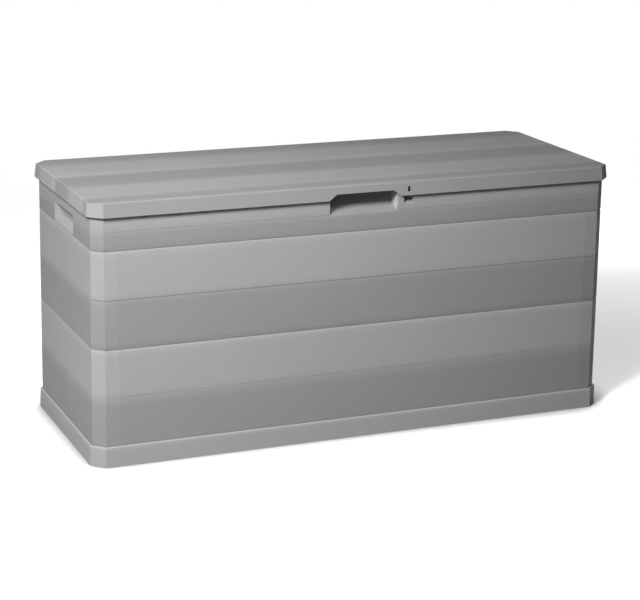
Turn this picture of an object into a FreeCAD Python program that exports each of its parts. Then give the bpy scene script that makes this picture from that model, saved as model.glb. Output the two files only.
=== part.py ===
import FreeCAD, Part
import math
import os

# A garden storage box in moulded polypropylene, in millimetres.
# The origin is on the ground under the middle of the box, the front faces -Y and +Z is up.
Vector = FreeCAD.Vector

# Closed box: the lid's lower edge and the base rim share one outline with cut corners
box_length = 1170.0
box_depth = 450.0
box_height = 545.0
corner_cut = 26.0

# Wall thickness of every moulding and the clearances between them
skin = 2.5
fit_gap = 0.3

# How far a cutting tool runs past the faces it cuts
overcut = 1.0

# Walls: they lean in from the rim to the lid and are ribbed on the inside
rim_to_wall = 5.5
lid_to_wall = 9.0
wall_depth = 16.0
plank_count = 4
groove_width = 2.4
groove_depth = 1.3
fine_groove_width = 1.6
fine_groove_depth = 0.6
plank_shoulder_height = 9.0
plank_shoulder_depth = 0.5
rib_thickness = 2.0
plank_rib_depth = 8.0
long_bays = 10
short_bays = 4

# Corner seams: each side panel wraps round to the front and back and hooks over a lap
seam_from_end = 59.0
lap_length = 14.0
lap_root = 12.0
hook_lip_reach = 12.0

# Base tray
rim_height = 43.0
rim_flare = 1.0
rim_edge_radius = 1.5
rim_gap = 0.6
floor_height = 23.0
upstand_height = 17.0
floor_long_bays = 12
floor_short_bays = 4

# Upper frame: the band under the lid, with a line part way up
band_height = 70.0
band_line_height = 38.0
tongue_height = 20.0

# Finger pull in the front of the frame, and the cut-out in the lid over it
pull_width = 152.0
pull_depth = 31.0
pull_ramp_rise = 14.0
cutout_lower_width = 160.0
cutout_upper_width = 128.0
cutout_height = 12.5

# Padlock pocket in the frame and slot in the lid's skirt
lock_x = 101.5
lock_width = 21.0
lock_depth = 12.0
lock_ramp_rise = 8.0
lock_pocket_height = 16.0
lock_bridge_height = 8.0
lock_bridge_below_skirt = 3.0
slot_x = 99.0
slot_width = 6.0
slot_height = 11.0
slot_above_edge = 7.6

# Hand-holds in the ends of the frame
hold_width = 144.0
hold_depth = 18.5
hold_ramp_rise = 11.0
hold_top_height = 44.0
hold_lip = 0.4

# Lid
lid_skirt_height = 29.0
lid_flare = 3.5
lid_edge_radius = 2.0
lid_rib_height = 10.0
lid_long_bays = 12
lid_short_bays = 4
lid_rib_clearance = 4.0
lid_line_width = 2.0
lid_line_depth = 0.8
lid_line_places = (41.0, -188.0)

# Hinges: three sets of knuckles on the back edge, each on its own pin
hinge_from_end = 185.0
hinge_height = 3.0
knuckle_radius = 4.0
knuckle_length = 36.0
lug_length = 18.0
lug_drop = 15.0
knuckle_end_gap = 0.5
pin_radius = 2.0
pin_running_gap = 0.05
pin_head_radius = 3.4
pin_head_length = 2.5
notch_gap = 1.5

# Push-in clips that lock the panels into the tray and the frame: two flat legs under a head
clip_width = 12.0
clip_height = 4.0
clip_slot = 3.0
clip_root = 2.5
clip_gap = 0.1
clip_head_width = 18.0
clip_head_height = 9.0
clip_head_thickness = 2.0
clip_head_edge = 0.6
long_clip_from_end = 165.0
short_clip_from_end = 113.0

# Heights and places that follow from the sizes above
lid_bottom = box_height - lid_skirt_height
lid_underside = box_height - skin
frame_top = lid_underside - fit_gap
band_bottom = lid_bottom - band_height
band_line = band_bottom + band_line_height
panel_bottom = floor_height + fit_gap
panel_top = band_bottom - fit_gap / 2
frame_bottom = band_bottom + fit_gap / 2
upstand_top = floor_height + upstand_height
flange_bottom = upstand_top + fit_gap
seam_x = box_length / 2 - seam_from_end
tongue_outer = skin + fit_gap
tongue_inner = tongue_outer + skin
tongue_top = panel_top + tongue_height
hook_x = seam_x + lap_length + fit_gap
hook_outer = tongue_inner + fit_gap
hook_inner = hook_outer + skin
frame_clip_z = panel_top + tongue_height / 2
base_clip_z = floor_height + upstand_height / 2
long_clip_reach = box_length / 2 - long_clip_from_end
short_clip_reach = box_depth / 2 - short_clip_from_end
long_clip_places = (-long_clip_reach, -long_clip_reach / 3, long_clip_reach / 3, long_clip_reach)
short_clip_places = (-short_clip_reach, short_clip_reach)
hinge_reach = box_length / 2 - hinge_from_end
hinge_places = (-hinge_reach, 0.0, hinge_reach)


def outline(z, inset):
    """Closed eight-sided outline of the box at height z, moved in evenly by inset."""
    half_x = box_length / 2 - inset
    half_y = box_depth / 2 - inset
    cut = corner_cut - inset * (2 - math.sqrt(2))
    points = []
    for side_x, side_y in ((1, -1), (1, 1), (-1, 1), (-1, -1)):
        on_long_side = Vector(side_x * (half_x - cut), side_y * half_y, z)
        on_short_side = Vector(side_x * half_x, side_y * (half_y - cut), z)
        pair = [on_long_side, on_short_side]
        points += pair if side_x * side_y < 0 else pair[::-1]
    return points


def flat_face(points):
    """Flat face inside the closed line through the points."""
    return Part.Face(Part.makePolygon(points + points[:1]))


def flat_sided(low, high):
    """Solid between two rings of points, both anticlockwise as seen from beyond the high ring."""
    sides = []
    for step, start in enumerate(low):
        following = (step + 1) % len(low)
        sides.append(flat_face([start, low[following], high[following], high[step]]))
    return Part.makeSolid(Part.makeShell([flat_face(low[::-1]), flat_face(high)] + sides))


def taper_block(z_low, inset_low, z_high, inset_high):
    """Solid between two outlines."""
    return flat_sided(outline(z_low, inset_low), outline(z_high, inset_high))


def wall_inset(z):
    """How far the outside of the wall lies inside the box outline at height z."""
    share = (z - rim_height) / (lid_bottom - rim_height)
    return rim_to_wall + share * (lid_to_wall - rim_to_wall)


def wall_block(z_low, z_high, depth):
    """Everything that lies at least depth inside the outer face of the walls."""
    return taper_block(z_low, wall_inset(z_low) + depth, z_high, wall_inset(z_high) + depth)


def wall_ring(z_low, z_high, outer_depth, inner_depth):
    """A sheet that follows all the walls, between two depths behind their outer face."""
    return wall_block(z_low, z_high, outer_depth).cut(wall_block(z_low, z_high, inner_depth))


def slab(x_low, x_high, y_low, y_high, z_low=-overcut, z_high=box_height + overcut):
    """Upright box between the given limits."""
    size = (x_high - x_low, y_high - y_low, z_high - z_low)
    return Part.makeBox(*size, Vector(x_low, y_low, z_low))


def rounded_top(block, radius):
    """Block with the edges of its top face rounded."""
    top = max(block.Faces, key=lambda face: face.CenterOfMass.z)
    return block.makeFillet(radius, top.Edges)


def joined(shapes):
    """One solid from shapes that meet or overlap."""
    first, *rest = shapes
    return first.fuse(rest).removeSplitter() if rest else first


def front_y(depth, z):
    """Y of a point that lies depth behind the outer face of the front wall."""
    return -box_depth / 2 + wall_inset(z) + depth


def left_x(depth, z):
    """X of a point that lies depth behind the outer face of the left wall."""
    return -box_length / 2 + wall_inset(z) + depth


def across_front(profile, x_low, x_high):
    """Profile of (depth, z) points on the front wall, extruded along X."""
    points = [Vector(x_low, front_y(depth, z), z) for depth, z in profile]
    return flat_face(points).extrude(Vector(x_high - x_low, 0, 0))


def across_left(profile, y_low, y_high):
    """Profile of (depth, z) points on the left wall, extruded along Y."""
    points = [Vector(left_x(depth, z), y_low, z) for depth, z in profile]
    return flat_face(points).extrude(Vector(0, y_high - y_low, 0))


def mirrored_x(shape):
    return shape.mirror(Vector(0, 0, 0), Vector(1, 0, 0))


def mirrored_y(shape):
    return shape.mirror(Vector(0, 0, 0), Vector(0, 1, 0))


def even_places(low, high, bays):
    """Places between low and high that divide the span into equal bays."""
    return [low + (high - low) * step / bays for step in range(1, bays)]


def wall_groove(profile):
    """Tool that cuts one groove right round the outside of the walls, from (z, depth) points."""
    kept = []
    for (low, low_depth), (high, high_depth) in zip(profile, profile[1:]):
        kept.append(taper_block(low, wall_inset(low) + low_depth, high, wall_inset(high) + high_depth))
    return wall_block(profile[0][0], profile[-1][0], -overcut).cut(kept)


def fine_groove(z):
    """Tool for a fine V-groove at height z."""
    half = fine_groove_width / 2
    return wall_groove([(z - half, 0), (z, fine_groove_depth), (z + half, 0)])


def plank_groove(z):
    """Tool for the groove at height z, with the rounded shoulder of the plank below it."""
    half = groove_width / 2
    shoulder = [(z - plank_shoulder_height, 0), (z - plank_shoulder_height / 2, plank_shoulder_depth / 4)]
    return wall_groove(shoulder + [(z - half, plank_shoulder_depth), (z, groove_depth), (z + half, 0)])


def plank_heights():
    """Heights of the grooves that divide the walls into planks."""
    step = (band_bottom - rim_height) / plank_count
    return [rim_height + step * count for count in range(1, plank_count + 1)]


def cut_plank_grooves(shape):
    """Shape with a groove over every second plank and fine ones between, which miss the flat ends."""
    heights = plank_heights()
    tools = [plank_groove(z) for z in heights[1::2]]
    for z in heights[::2]:
        flat_half = abs(outline(z, wall_inset(z))[1].y)
        tools.append(fine_groove(z).cut(slab(-box_length, box_length, -flat_half, flat_half)))
    return shape.cut(tools)


def at_front(piece, depth, z):
    """Copies of a piece that points to -Y, one at each clip place of the front wall."""
    return [piece.translated(Vector(x, front_y(depth, z), z)) for x in long_clip_places]


def at_left(piece, depth, z):
    """Copies of a piece that points to -Y, turned to the left wall, one at each clip place."""
    turned = piece.rotated(Vector(0, 0, 0), Vector(0, 0, 1), -90)
    return [turned.translated(Vector(left_x(depth, z), y, z)) for y in short_clip_places]


def clip_window():
    """Tool for a clip's hole, which starts at the inner face of a skin and runs out through it."""
    half_width = clip_width / 2 + clip_gap
    half_height = clip_height / 2 + clip_gap
    return slab(-half_width, half_width, -skin - overcut, overcut, -half_height, half_height)


def windows_all_round(depth, z):
    """Clip holes in all four walls, through the skin whose inner face lies at a depth."""
    front = at_front(clip_window(), depth, z)
    left = at_left(clip_window(), depth, z)
    return front + left + [mirrored_y(hole) for hole in front] + [mirrored_x(hole) for hole in left]


def base_tray():
    """Floor on a rib grid, with a rim and a channel that takes the panels' lower edges."""
    tray = rounded_top(taper_block(0, 0, rim_height, rim_flare), rim_edge_radius)
    tray = tray.cut(wall_block(floor_height, rim_height + overcut, -rim_gap))
    tray = joined([tray, wall_ring(floor_height - skin / 2, upstand_top, tongue_outer, tongue_inner)])
    floor_underside = floor_height - skin
    hollow = taper_block(-overcut, skin, floor_underside, skin)
    ribs = []
    for x in even_places(-box_length / 2, box_length / 2, floor_long_bays):
        ribs.append(slab(x - rib_thickness / 2, x + rib_thickness / 2, -box_depth, box_depth))
    for y in even_places(-box_depth / 2, box_depth / 2, floor_short_bays):
        ribs.append(slab(-box_length, box_length, y - rib_thickness / 2, y + rib_thickness / 2))
    return tray.cut([hollow.cut(ribs)] + windows_all_round(tongue_inner, base_clip_z))


def rib_bays(zones):
    """Hollows between the upright ribs, each crossed by the low ribs behind the plank grooves."""
    low = flange_bottom + skin
    high = panel_top - skin
    half = rib_thickness / 2
    bays = wall_block(low, high, skin).common(zones)
    return bays.cut([wall_ring(z - half, z + half, skin / 2, plank_rib_depth) for z in plank_heights()[:-1]])


def front_panel():
    """Planked front wall: a ribbed tray, with a tongue on top, one below and a lap at each end."""
    sheet_end = seam_x - fit_gap / 2
    frame_end = seam_x - lap_root
    lap_end = seam_x + lap_length
    front = -box_depth
    half = rib_thickness / 2
    middle = slab(-frame_end, frame_end, front, 0)
    places = [-frame_end + half] + even_places(-frame_end, frame_end, long_bays) + [frame_end - half]
    zones = [slab(a + half, b - half, front, 0) for a, b in zip(places, places[1:])]
    ribbed = wall_ring(flange_bottom, panel_top, 0, wall_depth).common(middle).cut(rib_bays(zones))
    sheet = wall_ring(panel_bottom, panel_top, 0, skin).common(slab(-sheet_end, sheet_end, front, 0))
    tongue = wall_ring(panel_top - skin, tongue_top, tongue_outer, tongue_inner).common(middle)
    lap_back = wall_ring(flange_bottom, panel_top, skin / 2, tongue_inner)
    lap_plate = wall_ring(flange_bottom, panel_top, tongue_outer, tongue_inner)
    right_lap = [lap_back.common(slab(frame_end - skin, sheet_end, front, 0)),
                 lap_plate.common(slab(frame_end - skin, lap_end, front, 0))]
    laps = right_lap + [mirrored_x(piece) for piece in right_lap]
    panel = cut_plank_grooves(joined([ribbed, sheet, tongue] + laps))
    window = clip_window()
    return panel.cut(at_front(window, skin, base_clip_z) + at_front(window, tongue_inner, frame_clip_z))


def left_side_panel():
    """End wall that wraps round both corners and hooks over the laps of its neighbours."""
    far = -box_length
    near = -hook_x
    half = rib_thickness / 2
    flat_end = box_depth / 2 - corner_cut - wall_depth
    flange_zone = slab(far, near, -box_depth, box_depth)
    ribs = [-flat_end] + even_places(-flat_end, flat_end, short_bays) + [flat_end]
    places = [-box_depth] + ribs + [box_depth]
    zones = [slab(far, near - skin, a + half, b - half) for a, b in zip(places, places[1:])]
    ribbed = wall_ring(flange_bottom, panel_top, 0, wall_depth).common(flange_zone).cut(rib_bays(zones))
    sheet_zone = slab(far, -seam_x - fit_gap / 2, -box_depth, box_depth)
    sheet = wall_ring(panel_bottom, panel_top, 0, skin).common(sheet_zone)
    hook_zone = slab(near - skin, near + hook_lip_reach, -box_depth, box_depth)
    hook_lip = wall_ring(flange_bottom, panel_top, hook_outer, hook_inner).common(hook_zone)
    tongue = wall_ring(panel_top - skin, tongue_top, tongue_outer, tongue_inner).common(flange_zone)
    hold_clear = hold_width / 2 + skin + fit_gap
    tongue = tongue.cut(slab(far, 0, -hold_clear, hold_clear, panel_top, tongue_top + overcut))
    panel = cut_plank_grooves(joined([ribbed, sheet, hook_lip, tongue]))
    window = clip_window()
    return panel.cut(at_left(window, skin, base_clip_z) + at_left(window, tongue_inner, frame_clip_z))


def finger_pull():
    """Shell and hollow of the pocket under the lid's cut-out."""
    back = pull_depth
    top = frame_top + overcut
    ramp_top = band_line + pull_ramp_rise
    shell = [(skin / 2, band_line - skin), (back + skin, ramp_top - skin),
             (back + skin, frame_top), (skin / 2, frame_top)]
    hollow = [(-overcut, band_line), (0, band_line), (back, ramp_top), (back, top), (-overcut, top)]
    half = pull_width / 2
    return across_front(shell, -half - skin, half + skin), across_front(hollow, -half, half)


def lock_pocket():
    """Block and hollows of the padlock pocket, which leave a bridge for the shackle."""
    bridge_low = lid_bottom - lock_bridge_below_skirt
    bridge_high = bridge_low + lock_bridge_height
    pocket_low = bridge_low - lock_pocket_height
    ramp_top = pocket_low + lock_ramp_rise
    top = frame_top + overcut
    block = [(skin / 2, pocket_low - skin), (wall_depth, pocket_low - skin),
             (wall_depth, frame_top), (skin / 2, frame_top)]
    hollow = [(-overcut, pocket_low), (0, pocket_low), (lock_depth, ramp_top), (lock_depth, top),
              (skin, top), (skin, bridge_low), (-overcut, bridge_low)]
    window = [(-overcut, bridge_high), (skin + overcut, bridge_high), (skin + overcut, top), (-overcut, top)]
    low = lock_x - lock_width / 2
    high = lock_x + lock_width / 2
    hollows = [across_front(hollow, low, high), across_front(window, low, high)]
    return across_front(block, low - skin, high + skin), hollows


def hand_hold():
    """Block of the hand-hold in the left end, its hollow, and the core under its ramp."""
    lip = band_bottom + groove_width / 2 + hold_lip
    ramp_top = lip + hold_ramp_rise
    ceiling = band_bottom + hold_top_height
    block = [(skin / 2, frame_bottom), (hold_depth + skin, frame_bottom),
             (hold_depth + skin, ceiling + skin), (skin / 2, ceiling + skin)]
    hollow = [(-overcut, lip), (0, lip), (hold_depth, ramp_top), (hold_depth, ceiling), (-overcut, ceiling)]
    core = [(skin, frame_bottom - overcut), (hold_depth, frame_bottom - overcut),
            (hold_depth, ramp_top - skin), (skin, lip - skin / 2)]
    half = hold_width / 2
    hollows = [across_left(hollow, -half, half), across_left(core, -half, half)]
    return across_left(block, -half - skin, half + skin), hollows


def lid_inset(z):
    """How far the lid's skirt lies inside the box outline at height z."""
    return lid_flare * (z - lid_bottom) / lid_skirt_height


# Hinge axis: the knuckles are flush with the back skirt of the lid
hinge_z = lid_bottom + hinge_height
hinge_y = box_depth / 2 - lid_inset(hinge_z) - knuckle_radius


def round_end(x_low, x_high):
    """Barrel about the hinge axis."""
    return Part.makeCylinder(knuckle_radius, x_high - x_low, Vector(x_low, hinge_y, hinge_z), Vector(1, 0, 0))


def frame_lug(x_low, x_high):
    """Barrel with a gusset that runs down onto the back of the frame."""
    wall_z = hinge_z - lug_drop
    wall_y = -front_y(0, wall_z)
    reach = Vector(0, hinge_y - wall_y, hinge_z - wall_z)
    lean = math.atan2(reach.z, reach.y) - math.asin(knuckle_radius / reach.Length) - math.pi / 2
    tangent_y = hinge_y + knuckle_radius * math.cos(lean)
    tangent_z = hinge_z + knuckle_radius * math.sin(lean)
    inside = wall_y - skin / 2
    corners = [(inside, hinge_z + knuckle_radius), (hinge_y, hinge_z + knuckle_radius), (hinge_y, hinge_z),
               (tangent_y, tangent_z), (wall_y, wall_z), (inside, wall_z)]
    points = [Vector(x_low, y, z) for y, z in corners]
    gusset = flat_face(points).extrude(Vector(x_high - x_low, 0, 0))
    return gusset.fuse(round_end(x_low, x_high))


def lug_spans(hinge_x):
    """X limits of the two frame lugs of one hinge."""
    inner = knuckle_length / 2 + knuckle_end_gap
    outer = inner + lug_length
    return [(hinge_x - outer, hinge_x - inner), (hinge_x + inner, hinge_x + outer)]


def hinge_bore(hinge_x):
    """Pin hole through all the knuckles of one hinge."""
    reach = knuckle_length / 2 + knuckle_end_gap + lug_length + overcut
    start = Vector(hinge_x - reach, hinge_y, hinge_z)
    return Part.makeCylinder(pin_radius + pin_running_gap, 2 * reach, start, Vector(1, 0, 0))


def upper_frame():
    """Hollow ring over the panels' tongues, with the pull, hand-holds, lock pocket and hinge lugs."""
    pieces = [wall_ring(frame_bottom, frame_top, 0, skin)]
    pieces.append(wall_ring(frame_bottom, frame_top, wall_depth - skin, wall_depth))
    pieces.append(wall_ring(frame_top - skin, frame_top, skin / 2, wall_depth - skin / 2))
    web_ring = wall_ring(tongue_top + skin, frame_top, skin / 2, wall_depth - skin / 2)
    for x in even_places(-seam_x, seam_x, long_bays):
        web = slab(x - rib_thickness / 2, x + rib_thickness / 2, -box_depth, box_depth)
        pieces.append(web_ring.common(web))
    pull_shell, pull_hollow = finger_pull()
    lock_block, lock_hollows = lock_pocket()
    hold_block, hold_hollows = hand_hold()
    pieces += [pull_shell, lock_block, hold_block, mirrored_x(hold_block)]
    pieces += [frame_lug(*span) for hinge_x in hinge_places for span in lug_spans(hinge_x)]
    hollows = [pull_hollow] + hold_hollows + [mirrored_x(hollow) for hollow in hold_hollows] + lock_hollows
    frame = joined(pieces).cut(hollows)
    frame = frame.cut([plank_groove(band_bottom), fine_groove(band_line)])
    return frame.cut(windows_all_round(wall_depth, frame_clip_z) + [hinge_bore(x) for x in hinge_places])


def lid_knuckle(x_low, x_high):
    """Barrel that hangs from the back skirt of the lid."""
    top = hinge_z + 2 * knuckle_radius + notch_gap
    back_low = box_depth / 2 - lid_inset(hinge_z)
    back_high = box_depth / 2 - lid_inset(top)
    corners = [(back_low - skin, hinge_z), (back_low, hinge_z), (back_high, top), (back_high - skin, top)]
    points = [Vector(x_low, y, z) for y, z in corners]
    web = flat_face(points).extrude(Vector(x_high - x_low, 0, 0))
    return web.fuse(round_end(x_low, x_high))


def lid_line(y):
    """Tool that cuts one V-groove over the lid and down both end skirts."""
    low = lid_bottom - overcut
    half = lid_line_width / 2
    sections = []
    for place, depth in ((y - half, 0), (y, lid_line_depth), (y + half, 0)):
        high = box_height - depth
        wide = box_length / 2 - lid_inset(low) - depth
        narrow = box_length / 2 - lid_inset(high) - depth
        corners = [(wide, low), (-wide, low), (-narrow, high), (narrow, high)]
        sections.append([Vector(x, place, z) for x, z in corners])
    front_edge, bottom, back_edge = sections
    around = slab(-box_length, box_length, y - half, y + half, low)
    return around.cut([flat_sided(front_edge, bottom), flat_sided(bottom, back_edge)])


def lid_ribs():
    """Rib grid under the lid, clear of the frame while the lid swings."""
    low = lid_underside - lid_rib_height
    high = lid_underside + skin / 2
    half = rib_thickness / 2
    field_x = -left_x(wall_depth, frame_top) - corner_cut
    field_front = front_y(pull_depth + skin, frame_top) + lid_rib_clearance
    frame_edge = Vector(0, hinge_y + front_y(wall_depth, frame_top), frame_top - hinge_z)
    field_back = hinge_y - math.sqrt(frame_edge.Length ** 2 - (low - hinge_z) ** 2) - lid_rib_clearance
    ribs = []
    for x in [-field_x] + even_places(-field_x, field_x, lid_long_bays) + [field_x]:
        ribs.append(slab(x - half, x + half, field_front, field_back, low, high))
    for y in [field_front] + even_places(field_front, field_back, lid_short_bays) + [field_back]:
        ribs.append(slab(-field_x, field_x, y - half, y + half, low, high))
    return ribs


def pull_cutout():
    """Tool for the cut-out with sloping ends in the front skirt of the lid."""
    low = lid_bottom - overcut
    high = lid_bottom + cutout_height
    slope = (cutout_lower_width - cutout_upper_width) / 2 / cutout_height
    lower_half = cutout_lower_width / 2 + slope * overcut
    upper_half = cutout_upper_width / 2
    corners = [(-lower_half, low), (lower_half, low), (upper_half, high), (-upper_half, high)]
    points = [Vector(x, -box_depth / 2 - overcut, z) for x, z in corners]
    return flat_face(points).extrude(Vector(0, lid_flare + skin + 2 * overcut, 0))


def lock_slot():
    """Tool for the padlock slot in the front skirt of the lid."""
    front = -box_depth / 2
    low = lid_bottom + slot_above_edge
    half = slot_width / 2
    return slab(slot_x - half, slot_x + half, front - overcut, front + lid_flare + skin + overcut,
                low, low + slot_height)


def hinge_notches():
    """Tools for the gaps in the back skirt of the lid that the frame's lugs and pin heads stand in."""
    back = box_depth / 2
    top = hinge_z + knuckle_radius + notch_gap
    notches = []
    for hinge_x in hinge_places:
        for side in (-1, 1):
            inner = hinge_x + side * knuckle_length / 2
            outer = inner + side * (knuckle_end_gap + lug_length + pin_head_length + notch_gap)
            x_low, x_high = sorted((inner, outer))
            notches.append(slab(x_low, x_high, back - lid_flare - skin - overcut, back + overcut,
                                lid_bottom - overcut, top))
    return notches


def lid():
    """Shallow cap with a flared skirt, a rib grid underneath and hinge knuckles on its back edge."""
    below = lid_bottom - overcut
    cap = rounded_top(taper_block(lid_bottom, 0, box_height, lid_flare), lid_edge_radius)
    hollow = taper_block(below, lid_inset(below) + skin, lid_underside, lid_inset(lid_underside) + skin)
    cap = joined([cap.cut(hollow)] + lid_ribs())
    cap = cap.cut([lid_line(y) for y in lid_line_places] + [pull_cutout(), lock_slot()] + hinge_notches())
    knuckles = [lid_knuckle(x - knuckle_length / 2, x + knuckle_length / 2) for x in hinge_places]
    return joined([cap] + knuckles).cut([hinge_bore(x) for x in hinge_places])


def hinge_pin(hinge_x):
    """Headed pin, pushed in from the left."""
    half = knuckle_length / 2 + knuckle_end_gap + lug_length
    start = Vector(hinge_x - half, hinge_y, hinge_z)
    shank = Part.makeCylinder(pin_radius, 2 * half, start, Vector(1, 0, 0))
    head = Part.makeCylinder(pin_head_radius, pin_head_length, start, Vector(-1, 0, 0))
    return shank.fuse(head).removeSplitter()


def clip(tip_reach):
    """Push-in clip that points to -Y: two flat legs under a rectangular head with a bevelled rim."""
    half_width = clip_width / 2
    half_height = clip_height / 2
    legs = slab(-half_width, half_width, -tip_reach, 0, -half_height, half_height)
    slot = slab(-clip_slot / 2, clip_slot / 2, -tip_reach - overcut, -clip_root, -clip_height, clip_height)
    head = slab(-clip_head_width / 2, clip_head_width / 2, 0, clip_head_thickness,
                -clip_head_height / 2, clip_head_height / 2)
    inner_face = max(head.Faces, key=lambda face: face.CenterOfMass.y)
    head = head.makeChamfer(clip_head_edge, inner_face.Edges)
    return joined([legs.cut(slot), head])


def clip_sets(depth, z, tip_depth):
    """Clips of the front and of the left wall, from a head that seats at a depth out to a tip depth."""
    seat_depth = depth + clip_gap
    piece = clip(seat_depth - tip_depth)
    return Part.makeCompound(at_front(piece, seat_depth, z)), Part.makeCompound(at_left(piece, seat_depth, z))


def all_nodes():
    """Every sub-part of the box under its own name."""
    front = front_panel()
    left = left_side_panel()
    frame_front, frame_left = clip_sets(wall_depth, frame_clip_z, tongue_outer + fit_gap)
    base_front, base_left = clip_sets(tongue_inner, base_clip_z, fit_gap)
    nodes = {
        "base_tray": base_tray(),
        "front_panel": front,
        "rear_panel": mirrored_y(front),
        "left_side_panel": left,
        "right_side_panel": mirrored_x(left),
        "upper_frame": upper_frame(),
        "lid": lid(),
        "frame_clips_front": frame_front,
        "frame_clips_rear": mirrored_y(frame_front),
        "frame_clips_left": frame_left,
        "frame_clips_right": mirrored_x(frame_left),
        "base_clips_front": base_front,
        "base_clips_rear": mirrored_y(base_front),
        "base_clips_left": base_left,
        "base_clips_right": mirrored_x(base_left),
    }
    for name, hinge_x in zip(("left", "middle", "right"), hinge_places):
        nodes["hinge_pin_" + name] = hinge_pin(hinge_x)
    return nodes


os.makedirs("parts", exist_ok=True)
for node, shape in all_nodes().items():
    shape.exportStep("parts/" + node + ".step")
    print(node, len(shape.Solids), shape.isValid(), round(shape.Volume))
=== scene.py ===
# A garden storage box in two greys: a base tray, four wall panels, an upper frame and a hinged
# lid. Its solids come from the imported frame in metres, front towards -Y, and get their finish here.
import math

import bmesh
import bpy
from mathutils import Matrix, Vector


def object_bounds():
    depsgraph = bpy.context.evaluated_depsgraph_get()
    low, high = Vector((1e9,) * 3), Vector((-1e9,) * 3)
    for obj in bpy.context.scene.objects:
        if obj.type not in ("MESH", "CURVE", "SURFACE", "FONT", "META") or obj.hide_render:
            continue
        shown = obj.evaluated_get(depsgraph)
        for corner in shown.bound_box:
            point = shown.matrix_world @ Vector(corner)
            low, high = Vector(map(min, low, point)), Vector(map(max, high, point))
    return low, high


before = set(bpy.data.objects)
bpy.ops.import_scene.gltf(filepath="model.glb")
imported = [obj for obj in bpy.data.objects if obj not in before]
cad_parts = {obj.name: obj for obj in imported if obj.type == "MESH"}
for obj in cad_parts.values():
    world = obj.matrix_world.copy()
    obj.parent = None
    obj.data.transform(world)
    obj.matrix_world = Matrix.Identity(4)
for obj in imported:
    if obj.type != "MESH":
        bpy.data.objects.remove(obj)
solid_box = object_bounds()


# Base tray
# The tray is one polypropylene moulding in the lighter grey. It stands on its rim and on the grid
# under its floor, and the upstand round its edge carries the walls.
rim_height = 0.043
tray_grey = 0.394
noise_span = (0.3, 0.7)

# The rim's upper edge is painted paler, as a highlight on its rounded edge; each stop is a height
# from the rim's top and a grey.
rim_painted_highlight = (
    (-0.009, tray_grey),
    (-0.0065, 0.41),
    (-0.0035, 0.455),
    (0.0, 0.445),
    (0.0005, tray_grey),
    (0.002, tray_grey),
)


def node(tree, kind, inputs=(), **settings):
    """Adds one node to a finish and sets or links its inputs."""
    made = tree.nodes.new(kind)
    for setting, value in settings.items():
        setattr(made, setting, value)
    for key, value in dict(inputs).items():
        if isinstance(value, bpy.types.NodeSocket):
            tree.links.new(value, made.inputs[key])
        else:
            made.inputs[key].default_value = value
    return made


def times(tree, first, second):
    """Two values multiplied."""
    return node(tree, "ShaderNodeMath", {0: first, 1: second}, operation="MULTIPLY").outputs[0]


def spread(tree, value, source, target, way="LINEAR"):
    """A value in the source range, moved to the target range; a range is its low and high end."""
    limits = {"Value": value, "From Min": source[0], "From Max": source[1]}
    limits.update({"To Min": target[0], "To Max": target[1]})
    return node(tree, "ShaderNodeMapRange", limits, interpolation_type=way).outputs[0]


def cloud(tree, place, per_metre, detail=2.0, roughness=0.5):
    """Soft noise of so many grains per metre."""
    inputs = {"Vector": place, "Scale": per_metre, "Detail": detail, "Roughness": roughness}
    return node(tree, "ShaderNodeTexNoise", inputs).outputs[0]


def near_corners(tree, reach, outer):
    """1 on open faces, less within reach of the piece's outer or inner corners."""
    settings = {"samples": 4, "inside": outer, "only_local": True}
    made = node(tree, "ShaderNodeAmbientOcclusion", {"Distance": reach}, **settings)
    return made.outputs["AO"]


def moulded_plastic(name, tone, relief=None):
    """Matt polypropylene with the fine grain of its mould. The tone is one grey, or a function
    that adds the nodes of a pattern; a relief is a function that adds a height in metres."""
    finish = bpy.data.materials.new(name)
    finish.use_nodes = True
    tree = finish.node_tree
    shader = tree.nodes["Principled BSDF"]
    place = node(tree, "ShaderNodeTexCoord").outputs["Object"]
    grey = tone(tree, place) if callable(tone) else tone
    # The pigment flows through the melt in slow clouds and leaves fine specks.
    flow = cloud(tree, place, per_metre=5.0, detail=4.0, roughness=0.6)
    flow = spread(tree, flow, noise_span, (0.985, 1.015))
    specks = spread(tree, cloud(tree, place, per_metre=650.0), noise_span, (0.96, 1.04))
    # The outer edges are painted paler as a highlight, and the inner corners are painted darker as
    # shade.
    edge_highlight = near_corners(tree, reach=0.0018, outer=True)
    highlit_grey = times(tree, grey, spread(tree, edge_highlight, (0.6, 1.0), (1.14, 1.0)))
    corner_shade = near_corners(tree, reach=0.005, outer=False)
    shaded_grey = times(tree, highlit_grey, spread(tree, corner_shade, (0.3, 1.0), (0.84, 1.0)))
    mottled = times(tree, times(tree, shaded_grey, flow), specks)
    tree.links.new(mottled, shader.inputs["Base Color"])
    # Handling polishes the grain in patches.
    patches = cloud(tree, place, per_metre=14.0, detail=5.0, roughness=0.65)
    tree.links.new(spread(tree, patches, noise_span, (0.47, 0.58)), shader.inputs["Roughness"])
    shader.inputs["Specular IOR Level"].default_value = 0.04
    # Moulded edges are a little round, large walls are never quite flat, and the skin is grained.
    edge = node(tree, "ShaderNodeBevel", {"Radius": 0.0008}, samples=4).outputs[0]
    if relief:
        raised = {"Strength": 1.0, "Distance": 1.0, "Height": relief(tree, place), "Normal": edge}
        edge = node(tree, "ShaderNodeBump", raised).outputs[0]
    waves = cloud(tree, place, per_metre=3.5, detail=1.0)
    bowed = {"Strength": 1.0, "Distance": 0.0005, "Height": waves, "Normal": edge}
    wall = node(tree, "ShaderNodeBump", bowed).outputs[0]
    grain = cloud(tree, place, per_metre=1100.0)
    grained = {"Strength": 0.5, "Distance": 0.00006, "Height": grain, "Normal": wall}
    tree.links.new(node(tree, "ShaderNodeBump", grained).outputs[0], shader.inputs["Normal"])
    return finish


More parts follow.
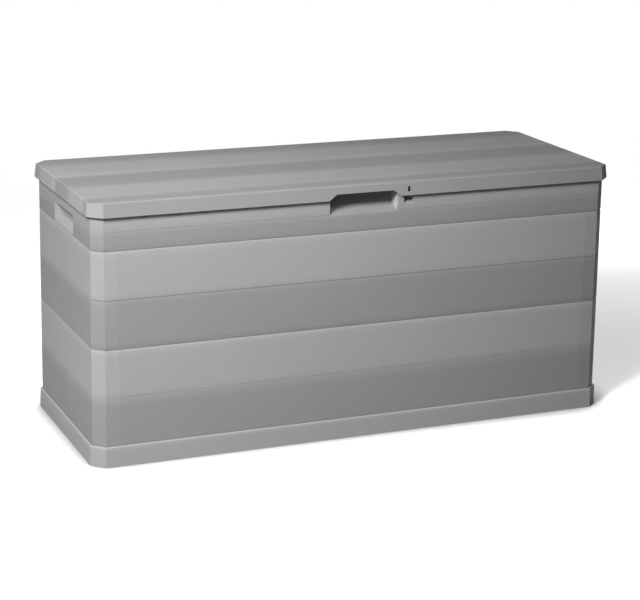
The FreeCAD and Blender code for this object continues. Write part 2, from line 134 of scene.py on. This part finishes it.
def give(finish, *pieces):
    """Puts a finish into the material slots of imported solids."""
    for piece in pieces:
        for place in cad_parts[piece].material_slots:
            place.material = finish


def tone_ramp(tree, value, stops):
    """Greys that follow a measure from the first stop to the last; a stop is a measure and a grey."""
    low, high = stops[0][0], stops[-1][0]
    ramp = node(tree, "ShaderNodeValToRGB", {0: spread(tree, value, (low, high), (0.0, 1.0))})
    points = ramp.color_ramp.elements
    while len(points) < len(stops):
        points.new(0.5)
    for point, (measure, grey) in zip(points, stops):
        point.position = (measure - low) / (high - low)
        point.color = (grey, grey, grey, 1.0)
    return ramp.outputs[0]


def rim_tones(tree, place):
    """The plain grey from the ground up, with a painted highlight along the rim's upper edge."""
    height = node(tree, "ShaderNodeSeparateXYZ", {0: place}).outputs["Z"]
    edge = [(rim_height + up, grey) for up, grey in rim_painted_highlight]
    return tone_ramp(tree, height, [(0.0, tray_grey)] + edge)


give(moulded_plastic("base_grey", rim_tones), "base_tray")


# Front and rear panels
# Each long wall is one moulding that slots over the tray's upstand. Its outer face is coloured as
# four planks, light and dark in turn, parted by grooves; the inner face stays plain.
half_length, half_depth, box_height = solid_box[1]
corner_cut = 0.026
skirt_height = 0.029
band_height = 0.070
rim_to_wall = 0.0055
lid_to_wall = 0.009
plank_count = 4
lid_foot = box_height - skirt_height
plank_height = (lid_foot - band_height - rim_height) / plank_count
wall_lean = (lid_to_wall - rim_to_wall) / (lid_foot - rim_height)
# A plane this far inside a wall's outer face lies between that face and the inner one.
mid_wall = 0.0019
inner_grey = 0.34

# The four planks from the tray upwards and the band over them, with painted highlights on the planks'
# upper edges and painted shade along the rim and in the grooves; each stop is a height from the
# plank's foot and a grey.
long_wall_planks_and_painted_light = (
    # The lowest plank is dark, with painted shade along the rim, and pales towards its top.
    ((0.0, 0.28), (0.004, 0.31), (0.081, 0.31), (0.0998, 0.355)),
    # A fine line of painted shade in the groove parts it from a light plank, whose upper edge has a
    # painted highlight.
    ((0.0, 0.225), (0.00095, 0.37), (0.01425, 0.395), (0.08625, 0.39), (0.09875, 0.43)),
    # The third plank is dark, with painted shade just over a deep groove, and a fine line of painted
    # shade lies over it.
    ((0.0001, 0.42), (0.0019, 0.26), (0.0135, 0.3), (0.0915, 0.3), (0.0998, 0.335), (0.1003, 0.25)),
    # The top plank is light, with a painted highlight on its upper edge.
    ((0.00175, 0.27), (0.00335, 0.355), (0.01475, 0.375), (0.08475, 0.37), (0.09925, 0.39)),
    # The band starts with painted shade over a deep groove, is dark, and turns light above its own
    # line.
    (
        (0.0, 0.39),
        (0.0015, 0.26),
        (0.015, 0.285),
        (0.028, 0.285),
        (0.0373, 0.32),
        (0.054, 0.355),
        (band_height, 0.35),
    ),
)
end_wall_planks_and_painted_light = (
    # The ends have the same planks with softer fades and painted highlights on the planks' upper
    # edges.
    ((0.0, 0.295), (0.017, 0.285), (0.077, 0.28), (0.097, 0.32)),
    ((0.00825, 0.37), (0.01625, 0.38), (0.08825, 0.38), (0.09875, 0.425)),
    ((0.0001, 0.425), (0.0017, 0.29), (0.0135, 0.3), (0.0855, 0.295), (0.0955, 0.32)),
    ((0.01075, 0.385), (0.08475, 0.37), (0.09725, 0.42)),
    ((0.0, 0.42), (0.0015, 0.285), (0.02, 0.285), (0.04, 0.34), (0.048, 0.355), (band_height, 0.355)),
)


def beyond(tree, place, direction, limit):
    """1 where a place lies past a plane, which keeps a pattern on the outer skin."""
    reach = node(tree, "ShaderNodeVectorMath", {0: place, 1: direction}, operation="DOT_PRODUCT")
    past = {0: reach.outputs["Value"], 1: limit}
    return node(tree, "ShaderNodeMath", past, operation="GREATER_THAN").outputs[0]


def either(tree, *masks):
    """The largest of several masks."""
    whole = masks[0]
    for mask in masks[1:]:
        whole = node(tree, "ShaderNodeMath", {0: whole, 1: mask}, operation="MAXIMUM").outputs[0]
    return whole


def blend(tree, share, first, second):
    """One grey where the share is 0 and the other where it is 1."""
    greys = {0: share, 2: first, 3: second}
    return node(tree, "ShaderNodeMix", greys, data_type="FLOAT").outputs[0]


def mirrored(tree, place):
    """The place with all its parts made positive, so that like sides share one pattern."""
    return node(tree, "ShaderNodeVectorMath", {0: place}, operation="ABSOLUTE").outputs[0]


def outer_faces(tree, place, lean, inset):
    """Masks of the outer faces on the long sides, the ends and the cut corners. The planes that
    part them from the inner faces lie inset from the outline at the ground and lean in by lean."""
    folded = mirrored(tree, place)
    corner_reach = half_length + half_depth - corner_cut
    long_side = beyond(tree, folded, (0.0, 1.0, lean), half_depth - inset)
    end = beyond(tree, folded, (1.0, 0.0, lean), half_length - inset)
    corner = beyond(tree, folded, (1.0, 1.0, lean * 2**0.5), corner_reach - inset * 2**0.5)
    return long_side, end, corner


def up_the_wall(planks):
    """A wall's stops, measured from the ground."""
    feet = [rim_height + plank_height * count for count in range(len(planks))]
    return [(foot + up, grey) for foot, plank in zip(feet, planks) for up, grey in plank]


def plank_tones(tree, place, inside=inner_grey):
    """Four planks and the band over them, with their painted highlights and shade, on the outer faces
    of the walls.
    """
    height = node(tree, "ShaderNodeSeparateXYZ", {0: place}).outputs["Z"]
    inset = rim_to_wall - wall_lean * rim_height + mid_wall
    long_side, end, corner = outer_faces(tree, place, wall_lean, inset)
    turned = {0: end, 1: either(tree, long_side, corner)}
    end_only = node(tree, "ShaderNodeMath", turned, operation="SUBTRACT", use_clamp=True).outputs[0]
    long_tone = tone_ramp(tree, height, up_the_wall(long_wall_planks_and_painted_light))
    end_tone = tone_ramp(tree, height, up_the_wall(end_wall_planks_and_painted_light))
    planks = blend(tree, end_only, long_tone, end_tone)
    return blend(tree, either(tree, long_side, end, corner), inside, planks)


give(moulded_plastic("plank_grey", plank_tones), "front_panel", "rear_panel")


# Side panels
# The end walls are polypropylene mouldings too. They wrap round the cut corners, hook over the
# laps of the long walls and carry the same four planks. Where they wrap round, they bow a little.
wrap_slope = 0.055


def wrapped_bow(tree, place):
    """A height that falls evenly towards the ends, which shades the wrapped edges as if they turned
    outwards by 3 degrees."""
    along = node(tree, "ShaderNodeSeparateXYZ", {0: mirrored(tree, place)}).outputs["X"]
    return times(tree, along, -wrap_slope)


give(moulded_plastic("side_grey", plank_tones, wrapped_bow), "left_side_panel", "right_side_panel")


# Clips
# Flat push-in clips in a darker grey plastic go through the walls from inside. One set ties the
# walls to the tray and one to the upper frame.
clip_grey = moulded_plastic("clip_grey", 0.22)
for side in ("front", "rear", "left", "right"):
    give(clip_grey, "base_clips_" + side, "frame_clips_" + side)


# Upper frame
# The frame is one moulding that caps the four walls. It carries the finger pull, the hand-holds,
# the padlock bridge and the hinge lugs, and the band's colours go on above the top plank.
pull_half_width = 0.076
pull_back_place = -0.1853
pull_grey = 0.31
# The pull's back is painted dark as shade, and its ends are painted pale as a highlight.
pull_back_shade_grey = 0.20
pull_end_highlight_grey = 0.54
hold_half_width = 0.072
hold_from = 0.5
hold_grey = 0.40
# The planes that mark the pockets lie this far to either side of the pockets' own faces.
side_margin = 0.0005
behind_back = 0.001
before_back = 0.0009


def within(tree, value, limit):
    """1 where a value is below a limit."""
    return node(tree, "ShaderNodeMath", {0: value, 1: limit}, operation="LESS_THAN").outputs[0]


def frame_tones(tree, place):
    """The band outside, and in the pockets paler hand-holds, pull ends painted pale as a highlight
    and a pull back painted dark as shade.
    """
    folded = mirrored(tree, place)
    along, across, _ = node(tree, "ShaderNodeSeparateXYZ", {0: folded}).outputs
    depth = node(tree, "ShaderNodeSeparateXYZ", {0: place}).outputs["Y"]
    ends = beyond(tree, folded, (1.0, 0.0, 0.0), hold_from)
    hand_hold = times(tree, ends, within(tree, across, hold_half_width + side_margin))
    in_front = within(tree, depth, pull_back_place + behind_back)
    pull = times(tree, within(tree, along, pull_half_width + side_margin), in_front)
    at_back = beyond(tree, place, (0.0, 1.0, 0.0), pull_back_place - before_back)
    at_end = beyond(tree, folded, (1.0, 0.0, 0.0), pull_half_width - side_margin)
    inside = blend(tree, hand_hold, inner_grey, hold_grey)
    inside = blend(tree, pull, inside, pull_grey)
    inside = blend(tree, times(tree, pull, at_back), inside, pull_back_shade_grey)
    inside = blend(tree, times(tree, pull, at_end), inside, pull_end_highlight_grey)
    return plank_tones(tree, place, inside)


give(moulded_plastic("frame_grey", frame_tones), "upper_frame")


# Hinge pins
# Three pins in a dark plastic, each with a head at one end, go through the frame's lugs and the
# lid's knuckles along one line.
pin_grey = moulded_plastic("pin_grey", 0.16)
give(pin_grey, "hinge_pin_left", "hinge_pin_middle", "hinge_pin_right")


# Lid
# The lid is one ribbed moulding with a skirt all round. Its planks run from end to end and turn down
# over the end skirts, which are painted lighter as light; the long skirts stay in one grey, painted
# darker as shade.
skirt_flare = 0.0035
skirt_lean = skirt_flare / skirt_height
# Planes this far inside the outer faces of the skirt and the top part them from the inner ones.
mid_skirt = 0.0015
mid_top = 0.002
# The long skirts are painted darker as shade, and the end skirts lighter as painted light.
long_skirt_shade_grey = 0.297
corner_grey = 0.341
end_skirt_light_gain = 1.15

# The lid's planks from front to rear, with painted highlights on the rounded front edge, a groove's
# shoulder and the back edge, and painted shade in the front groove; each stop is a place across the
# lid and a grey.
lid_planks_and_painted_light = (
    # The front edge has a painted highlight on its rounded edge and soon turns dark.
    ((-half_depth, 0.315), (-0.218, 0.31), (-0.208, 0.27), (-0.2, 0.255), (-0.1895, 0.255)),
    # A groove with painted shade crosses the dark, which goes on a little behind it.
    ((-0.188, 0.235), (-0.1865, 0.26), (-0.176, 0.27)),
    # A broad light plank follows.
    ((-0.168, 0.305), (-0.16, 0.325), (-0.128, 0.32), (-0.08, 0.335), (-0.068, 0.315)),
    # The middle plank is dark and pales towards the second groove.
    ((-0.056, 0.28), (-0.046, 0.265), (0.02, 0.265), (0.034, 0.3), (0.04, 0.32)),
    # Behind that groove lies a light plank, with a painted highlight near its front edge.
    ((0.042, 0.345), (0.052, 0.365), (0.064, 0.35), (0.076, 0.34), (0.144, 0.34)),
    # The rear plank is dark, with a little painted highlight at the back edge.
    ((0.16, 0.305), (0.172, 0.28), (0.184, 0.265), (0.212, 0.26), (half_depth, 0.29)),
)


def lid_tones(tree, place):
    """The lid's planks with their painted highlights and shade, on its top and skirts."""
    across = node(tree, "ShaderNodeSeparateXYZ", {0: place}).outputs["Y"]
    planks = tone_ramp(tree, across, [stop for plank in lid_planks_and_painted_light for stop in plank])
    top = beyond(tree, place, (0.0, 0.0, 1.0), box_height - mid_top)
    inset = mid_skirt - skirt_lean * lid_foot
    long_side, end, corner = outer_faces(tree, place, skirt_lean, inset)
    planks = times(tree, planks, spread(tree, end, (0.0, 1.0), (1.0, end_skirt_light_gain)))
    skirts = blend(tree, corner, blend(tree, long_side, planks, long_skirt_shade_grey), corner_grey)
    outside = blend(tree, top, skirts, planks)
    return blend(tree, either(tree, top, long_side, end, corner), inner_grey, outside)


give(moulded_plastic("lid_grey", lid_tones), "lid")


# Floor and light
# A white studio floor keeps the box's shadow and runs out to plain white. A large key lamp stands
# on the left, with soft ones in front, overhead and behind.
floor_reach = 12.0
fade_out = (1.3, 2.6)
foot_shadow_reach = 0.08
paper_white = 1.9
paper_glow = 0.36
bounce_grey = 0.32
sky_light = 0.02


def seen_directly(tree):
    """1 for rays that show the surroundings themselves, 0 for those that light the box."""
    path = node(tree, "ShaderNodeLightPath")
    kinds = ("Is Camera Ray", "Is Glossy Ray", "Is Transmission Ray")
    return either(tree, *(path.outputs[kind] for kind in kinds))


def floor_finish():
    """Pale paper: white to the eye, a dull grey to the light that bounces from it."""
    finish = bpy.data.materials.new("studio_floor")
    finish.use_nodes = True
    tree = finish.node_tree
    tree.nodes.remove(tree.nodes["Principled BSDF"])
    place = node(tree, "ShaderNodeTexCoord").outputs["Object"]
    away = node(tree, "ShaderNodeVectorMath", {0: place}, operation="LENGTH").outputs["Value"]
    far = spread(tree, away, fade_out, (0.0, 1.0), "SMOOTHSTEP")
    # The box keeps the light off the paper close to its foot.
    around = node(tree, "ShaderNodeAmbientOcclusion", {"Distance": foot_shadow_reach}, samples=8)
    open_air = around.outputs["AO"]
    reached = times(tree, open_air, open_air)
    lit = {"Color": times(tree, reached, paper_white)}
    paper = node(tree, "ShaderNodeBsdfDiffuse", lit).outputs[0]
    glowing = {"Strength": times(tree, reached, paper_glow)}
    glow = node(tree, "ShaderNodeEmission", glowing).outputs[0]
    near = node(tree, "ShaderNodeAddShader", {0: paper, 1: glow}).outputs[0]
    white = node(tree, "ShaderNodeEmission", {"Strength": 1.0}).outputs[0]
    seen = node(tree, "ShaderNodeMixShader", {0: far, 1: near, 2: white}).outputs[0]
    dull = {"Color": (bounce_grey, bounce_grey, bounce_grey, 1.0)}
    bounce = node(tree, "ShaderNodeBsdfDiffuse", dull).outputs[0]
    whole = node(tree, "ShaderNodeMixShader", {0: seen_directly(tree), 1: bounce, 2: seen})
    tree.links.new(whole.outputs[0], tree.nodes["Material Output"].inputs["Surface"])
    return finish


shape = bmesh.new()
bmesh.ops.create_grid(shape, x_segments=1, y_segments=1, size=floor_reach)
floor_mesh = bpy.data.meshes.new("floor")
shape.to_mesh(floor_mesh)
shape.free()
floor_mesh.materials.append(floor_finish())
floor = bpy.data.objects.new("floor", floor_mesh)
bpy.context.collection.objects.link(floor)


def lamp(name, place, aim, size, watts, colour=(1.0, 1.0, 1.0)):
    """One square soft lamp, aimed at a point."""
    light = bpy.data.lights.new(name, "AREA")
    light.size = size
    light.energy = watts
    light.color = colour
    stand = bpy.data.objects.new(name, light)
    stand.location = place
    stand.rotation_euler = (Vector(aim) - Vector(place)).to_track_quat("-Z", "Y").to_euler()
    stand.visible_camera = False
    bpy.context.collection.objects.link(stand)


lamp(
    "key",
    place=(-1.83, -1.60, 1.91),
    aim=(-0.6, -0.2, 0.3),
    size=0.7,
    watts=87.5,
    colour=(0.985, 0.990, 1.01),
)
lamp(
    "front",
    place=(-0.16, -0.78, 1.09),
    aim=(-0.16, 0.0, 0.3),
    size=0.5,
    watts=2.65,
    colour=(1.0, 0.99, 0.93),
)
lamp("overhead", place=(-0.5, 0.0, 1.25), aim=(-0.5, 0.0, 0.5), size=0.5, watts=1.4)
lamp("rear", place=(2.3, 2.6, 0.26), aim=(0.0, 0.0, 0.26), size=0.45, watts=90.0)

surroundings = bpy.data.worlds.new("studio")
surroundings.use_nodes = True
bpy.context.scene.world = surroundings
sky = surroundings.node_tree
brightness = spread(sky, seen_directly(sky), (0.0, 1.0), (sky_light, 1.0))
sky.links.new(brightness, sky.nodes["Background"].inputs["Strength"])
sky.nodes["Background"].inputs["Color"].default_value = (1.0, 1.0, 1.0, 1.0)

bpy.context.scene.view_settings.view_transform = "Standard"


# Camera
# It stands at the photograph's angle, in front of the box and to its left, a little above it. Its
# turn from straight ahead, its slope down and its roll are in degrees.
camera_place = (-1.5616, -3.6889, 1.3694)
camera_turn = -22.899
camera_elevation = 15.745
camera_roll = 0.942

lens = bpy.data.cameras.new("camera")
lens.sensor_width = 36.0
lens.lens = 106.71
camera = bpy.data.objects.new("camera", lens)
bpy.context.collection.objects.link(camera)
camera.matrix_world = (
    Matrix.Translation(camera_place)
    @ Matrix.Rotation(math.radians(camera_turn), 4, "Z")
    @ Matrix.Rotation(math.radians(90.0 - camera_elevation), 4, "X")
    @ Matrix.Rotation(math.radians(camera_roll), 4, "Z")
)
bpy.context.scene.camera = camera
